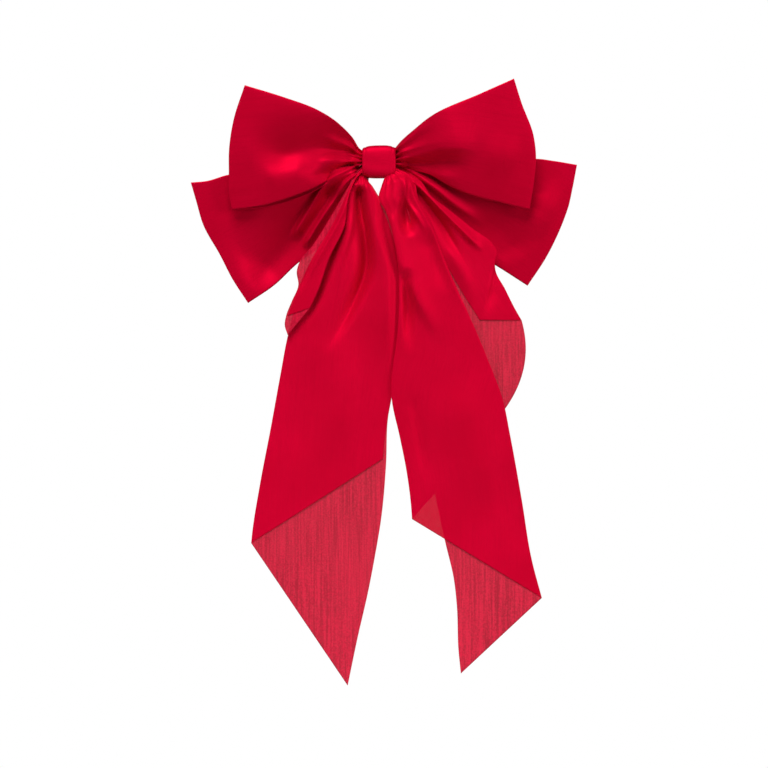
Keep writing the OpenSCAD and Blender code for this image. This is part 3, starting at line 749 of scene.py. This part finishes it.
def bundle_surface(low, high, radius, phase):
    """Closed bundle of gathered cloth along the bow: an ellipse with flutes round it, drawn
    in at its middle where the thread binds it, and closed to a point at both ends."""
    turn = np.linspace(0, 2 * np.pi, 145)[:-1][None, :]
    t = np.linspace(-1, 1, 61)[:, None]
    half_length = 10.2
    x = half_length * np.sin(t * np.pi / 2)
    end = np.sqrt(np.clip(1 - t**10, 0, 1))
    flutes = 1 - 0.07 * (0.5 + 0.5 * np.cos(17 * turn + phase + 1.5 * np.sin(t * 2))) ** 0.7
    waist = 1 - 0.1 * np.exp(-((x / 3.6) ** 2))
    size = end * flutes * waist
    mid, half = (low + high) / 2, (high - low) / 2
    square = (np.abs(np.cos(turn)) ** 3 + np.abs(np.sin(turn)) ** 3) ** (-1 / 3)
    y = mid + half * np.clip(size * square, 0, 0.98) * np.cos(turn)
    z = radius * size * square * np.sin(turn)
    return np.stack([np.broadcast_to(x, y.shape), y, z], -1)


# ---------------------------------------------------------------- settings


class BowSettings(bpy.types.PropertyGroup):
    """Colours and sizes of the bow's cloth."""

    satin: bpy.props.FloatVectorProperty(
        name="Satin", description="Colour of the satin face", subtype="COLOR", size=3,
        min=0, max=1, default=(0.68, 0.0005, 0.03))
    satin_shade: bpy.props.FloatVectorProperty(
        name="Satin shade", description="Deeper tone that drifts over the satin", subtype="COLOR",
        size=3, min=0, max=1, default=(0.6, 0.0004, 0.024))
    # doubled darkens the satin of the loops and knot: painted shade for the light that one sheer layer lets
    # through and the doubled ribbon does not.
    doubled: bpy.props.FloatProperty(
        name="Doubled ribbon", description="How much deeper the doubled ribbon's colour is than one layer's",
        subtype="FACTOR", min=0.3, max=1, default=0.82)
    crepe: bpy.props.FloatVectorProperty(
        name="Crepe", description="Colour of the matte inside of the cloth", subtype="COLOR",
        size=3, min=0, max=1, default=(0.64, 0.008, 0.042))
    crepe_shade: bpy.props.FloatVectorProperty(
        name="Crepe shade", description="Deeper threads of the matte inside", subtype="COLOR",
        size=3, min=0, max=1, default=(0.36, 0.004, 0.022))
    thread: bpy.props.FloatVectorProperty(
        name="Thread", description="Colour of the sewing thread", subtype="COLOR", size=3,
        min=0, max=1, default=(0.45, 0.004, 0.03))
    sheerness: bpy.props.FloatProperty(
        name="Opacity of one skin", description="How much one skin of a single layer hides",
        subtype="FACTOR", min=0.5, max=1, default=0.875)
    cloth_thickness: bpy.props.FloatProperty(
        name="Cloth thickness", description="Thickness of one layer of cloth", unit="LENGTH",
        min=0.0001, max=0.001, default=0.0002)
    ribbon_thickness: bpy.props.FloatProperty(
        name="Ribbon thickness", description="Thickness of the doubled ribbon in a loop",
        unit="LENGTH", min=0.0002, max=0.002, default=0.0005)
    fold_depth: bpy.props.FloatProperty(
        name="Fold depth", description="How far the folds stand out, against their drawn depth",
        subtype="FACTOR", min=0, max=2, default=1.1)


class ClipSettings(bpy.types.PropertyGroup):
    """Finish of the clip's metal."""

    plating: bpy.props.FloatVectorProperty(
        name="Plating", description="Colour of the plated steel", subtype="COLOR", size=3,
        min=0, max=1, default=(0.72, 0.73, 0.75))
    rivet_tone: bpy.props.FloatVectorProperty(
        name="Rivets", description="Colour of the pin, rivets and catch foot", subtype="COLOR",
        size=3, min=0, max=1, default=(0.5, 0.51, 0.54))
    roughness: bpy.props.FloatProperty(
        name="Roughness", description="Roughness of the polished steel", subtype="FACTOR",
        min=0, max=1, default=0.2)


class StageSettings(bpy.types.PropertyGroup):
    """Light, floor and camera."""

    key_power: bpy.props.FloatProperty(
        name="Top light", description="Power of the large soft light above", unit="POWER",
        min=0, default=98)
    left_power: bpy.props.FloatProperty(
        name="Left light", description="Power of the soft light on the left", unit="POWER",
        min=0, default=3.5)
    right_power: bpy.props.FloatProperty(
        name="Right light", description="Power of the soft light on the right", unit="POWER",
        min=0, default=10)
    sky: bpy.props.FloatProperty(
        name="Sky", description="Strength of the even light from above and below", min=0, default=0.12)
    horizon: bpy.props.FloatProperty(
        name="Horizon", description="Strength of the white band all round", min=0, default=1.0)
    front_fill: bpy.props.FloatProperty(
        name="Front fill", description="Share of the white band's strength in front", subtype="FACTOR",
        min=0, max=1, default=0.38)
    floor_radius: bpy.props.FloatProperty(
        name="Floor radius", description="Radius of the round floor", unit="LENGTH", min=0.1, default=0.45)
    floor_drop: bpy.props.FloatProperty(
        name="Floor drop", description="Floor below the tips of the tails", unit="LENGTH",
        min=0, default=0.12)
    focal: bpy.props.FloatProperty(
        name="Focal length", description="Camera lens in millimetres", min=20, default=150)
    distance: bpy.props.FloatProperty(
        name="Distance", description="Camera to the bow", unit="LENGTH", min=0.5, default=2.131)


# ---------------------------------------------------------------- operators


class BOW_OT_upper_loops(bpy.types.Operator):
    """Makes the two upper loops"""

    bl_idname = "bow.upper_loops"
    bl_label = "Upper loops"

    def execute(self, context):
        for name in ("upper_left_loop", "upper_right_loop"):
            piece = make_loop(name, context.scene.bow)
        return {"FINISHED"}


class BOW_OT_lower_loops(bpy.types.Operator):
    """Makes the two lower loops"""

    bl_idname = "bow.lower_loops"
    bl_label = "Lower loops"

    def execute(self, context):
        for name in ("lower_left_loop", "lower_right_loop"):
            piece = make_loop(name, context.scene.bow)
        return {"FINISHED"}


class BOW_OT_tails(bpy.types.Operator):
    """Makes the two long and the two short tails"""

    bl_idname = "bow.tails"
    bl_label = "Tails"

    def execute(self, context):
        for name, shape in TAILS.items():
            *neck, tail = make_tail(name, context.scene.bow)
        return {"FINISHED"}


class BOW_OT_knot(bpy.types.Operator):
    """Makes the knot band and the gathered cloth inside it"""

    bl_idname = "bow.knot"
    bl_label = "Knot"

    def execute(self, context):
        bow = context.scene.bow
        # The knot takes the doubled satin, darkened as painted shade.
        satin = cloth_materials(bow)[0]
        low, high = (np.array(c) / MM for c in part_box("knot_wrap"))
        points = knot_surface(high[0] - low[0], high[2] - low[2], low[1], high[1])
        uv = np.stack([lengths(points, 0), lengths(points, 1)], -1)[..., ::-1] * MM
        band = grid_mesh("knot_band_cloth", points, uv, around=True)
        band.data.materials.append(satin)
        thicken(band, bow.ribbon_thickness / MM)
        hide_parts("knot_wrap")
        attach(band, "root")
        for number, name in enumerate(("upper_waist", "tail_waist", "lower_waist")):
            low, high = (np.array(c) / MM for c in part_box(name))
            points = bundle_surface(low[1], high[1], high[2], 2.1 * number)
            uv = np.stack([lengths(points, 0), lengths(points, 1)], -1)[..., ::-1] * MM
            waist = grid_mesh(name + "_cloth", points, uv, around=True)
            waist.data.materials.append(satin)
            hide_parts(name)
            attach(waist, "root")
        thread = named("red_thread", thread_material, tuple(bow.thread))
        for name in ("wrap_stitches", "waist_thread"):
            dress(name, thread)
        return {"FINISHED"}


def dress(name, material):
    """Gives a CAD node a new material in its own slots."""
    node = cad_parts[name]
    for slot in node.material_slots:
        slot.material = material
    if not node.material_slots:
        node.data.materials.append(material)


class BOW_OT_clip(bpy.types.Operator):
    """Gives the clip's metal parts their finish"""

    bl_idname = "bow.clip"
    bl_label = "Clip"

    def execute(self, context):
        clip = context.scene.bow_clip
        bright = named("plated_steel", steel_material, tuple(clip.plating), clip.roughness)
        dark = named("rivet_steel", steel_material, tuple(clip.rivet_tone), clip.roughness + 0.12)
        for name in ("clip_bar", "clasp_arm", "tension_leaf", "upper_catch_prong", "lower_catch_prong"):
            dress(name, bright)
        for name in ("hinge_pin", "catch_foot", "clip_rivets"):
            dress(name, dark)
        return {"FINISHED"}


# Each light's name, place and size, in metres.
LIGHTS = (
    ("top", (-0.35, -1.9, 2.1), 1.5),
    ("left", (-1.3, -0.9, 0.1), 0.6),
    ("right", (1.3, -0.9, 0.1), 0.6),
)
AIM_DEPTH = -0.012  # how far in front of the clip the lights and the camera aim


def soft_light(name, place, aim, size, power):
    """A large square light at place, turned to aim."""
    lamp = bpy.data.lights.new(name, "AREA")
    lamp.shape = "SQUARE"
    lamp.size = size
    lamp.energy = power
    holder = bpy.data.objects.new(name, lamp)
    holder.location = place
    holder.rotation_euler = (Vector(aim) - Vector(place)).to_track_quat("-Z", "Y").to_euler()
    bpy.context.scene.collection.objects.link(holder)


def studio_sky(strength, horizon, front):
    """Even light from all round, with a white band along the horizon: at its full strength
    behind the bow, and dimmed to the share front before it."""
    world = bpy.data.worlds.new("studio")
    world.use_nodes = True
    tree = world.node_tree
    ground = tree.nodes["Background"]
    coords = tree.nodes.new("ShaderNodeTexCoord")
    split = tree.nodes.new("ShaderNodeSeparateXYZ")
    height = tree.nodes.new("ShaderNodeMath")
    height.operation = "ABSOLUTE"
    band = tree.nodes.new("ShaderNodeMapRange")
    band.interpolation_type = "SMOOTHSTEP"
    for key, number in (("From Min", 0.13), ("From Max", 0.22), ("To Min", horizon), ("To Max", strength)):
        band.inputs[key].default_value = number
    tree.links.new(coords.outputs["Generated"], split.inputs["Vector"])
    tree.links.new(split.outputs["Z"], height.inputs[0])
    tree.links.new(height.outputs["Value"], band.inputs["Value"])
    dim = tree.nodes.new("ShaderNodeMapRange")
    for key, number in (("From Min", -0.5), ("From Max", 0.2), ("To Min", front), ("To Max", 1)):
        dim.inputs[key].default_value = number
    tree.links.new(split.outputs["Y"], dim.inputs["Value"])
    both = tree.nodes.new("ShaderNodeMath")
    both.operation = "MULTIPLY"
    tree.links.new(band.outputs["Result"], both.inputs[0])
    tree.links.new(dim.outputs["Result"], both.inputs[1])
    tree.links.new(both.outputs["Value"], ground.inputs["Strength"])
    ground.inputs["Color"].default_value = (1, 1, 1, 1)
    return world


class BOW_OT_stage(bpy.types.Operator):
    """Makes the floor, the lights and the camera"""

    bl_idname = "bow.stage"
    bl_label = "Stage"

    def execute(self, context):
        stage, scene = context.scene.bow_stage, context.scene
        low, high = CAD_BOX
        middle = ((low[0] + high[0]) / 2, AIM_DEPTH, (low[2] + high[2]) / 2)
        turn = np.linspace(0, 2 * np.pi, 97)[:-1][None, :]
        out = np.linspace(0.001, 1, 12)[:, None] * stage.floor_radius / MM
        x, y = out * np.cos(turn), out * np.sin(turn)
        points = np.stack([x, y, np.full_like(x, (low[2] - stage.floor_drop) / MM)], -1)
        floor = grid_mesh("floor", points, points[..., :2] * MM, around=True, flip=True)
        paint = Nodes("pale_floor")
        paint.set(Roughness=0.9, Specular_IOR_Level=0.1)
        grain = paint.noise(paint.coords((1, 1, 1), uv=False), 40.0, 3)
        paint.link(paint.mix(grain, (0.9, 0.9, 0.89), (0.94, 0.94, 0.93)), paint.surface.inputs["Base Color"])
        floor.data.materials.append(paint.material)
        powers = (stage.key_power, stage.left_power, stage.right_power)
        for (name, place, size), power in zip(LIGHTS, powers):
            soft_light(name, place, middle, size, power)
        scene.world = studio_sky(stage.sky, stage.horizon, stage.front_fill)
        lens = bpy.data.cameras.new("camera")
        lens.lens = stage.focal
        camera = bpy.data.objects.new("camera", lens)
        camera.location = (middle[0], middle[1] - stage.distance, middle[2])
        camera.rotation_euler = (math.pi / 2, 0, 0)
        scene.collection.objects.link(camera)
        scene.camera = camera
        scene.view_settings.view_transform = "Standard"
        return {"FINISHED"}


class BOW_PT_panel(bpy.types.Panel):
    """Lists the bow's pieces and their settings"""

    bl_idname = "BOW_PT_panel"
    bl_label = "Satin hair bow"
    bl_space_type = "VIEW_3D"
    bl_region_type = "UI"
    bl_category = "Bow"

    def draw(self, context):
        for group in (context.scene.bow, context.scene.bow_clip, context.scene.bow_stage):
            box = self.layout.box()
            for key in group.__annotations__:
                box.prop(group, key)
        for operator in OPERATORS:
            self.layout.operator(operator.bl_idname)


OPERATORS = (BOW_OT_stage, BOW_OT_upper_loops, BOW_OT_lower_loops, BOW_OT_tails, BOW_OT_knot, BOW_OT_clip)
CLASSES = (BowSettings, ClipSettings, StageSettings, *OPERATORS, BOW_PT_panel)


def register():
    for cls in CLASSES:
        bpy.utils.register_class(cls)
    bpy.types.Scene.bow = bpy.props.PointerProperty(type=BowSettings)
    bpy.types.Scene.bow_clip = bpy.props.PointerProperty(type=ClipSettings)
    bpy.types.Scene.bow_stage = bpy.props.PointerProperty(type=StageSettings)


def unregister():
    for name in ("bow", "bow_clip", "bow_stage"):
        delattr(bpy.types.Scene, name)
    for cls in reversed(CLASSES):
        bpy.utils.unregister_class(cls)


def main():
    register()
    bpy.ops.bow.stage()
    bpy.ops.bow.knot()
    bpy.ops.bow.upper_loops()
    bpy.ops.bow.lower_loops()
    bpy.ops.bow.tails()
    bpy.ops.bow.clip()


if __name__ == "__main__":
    main()
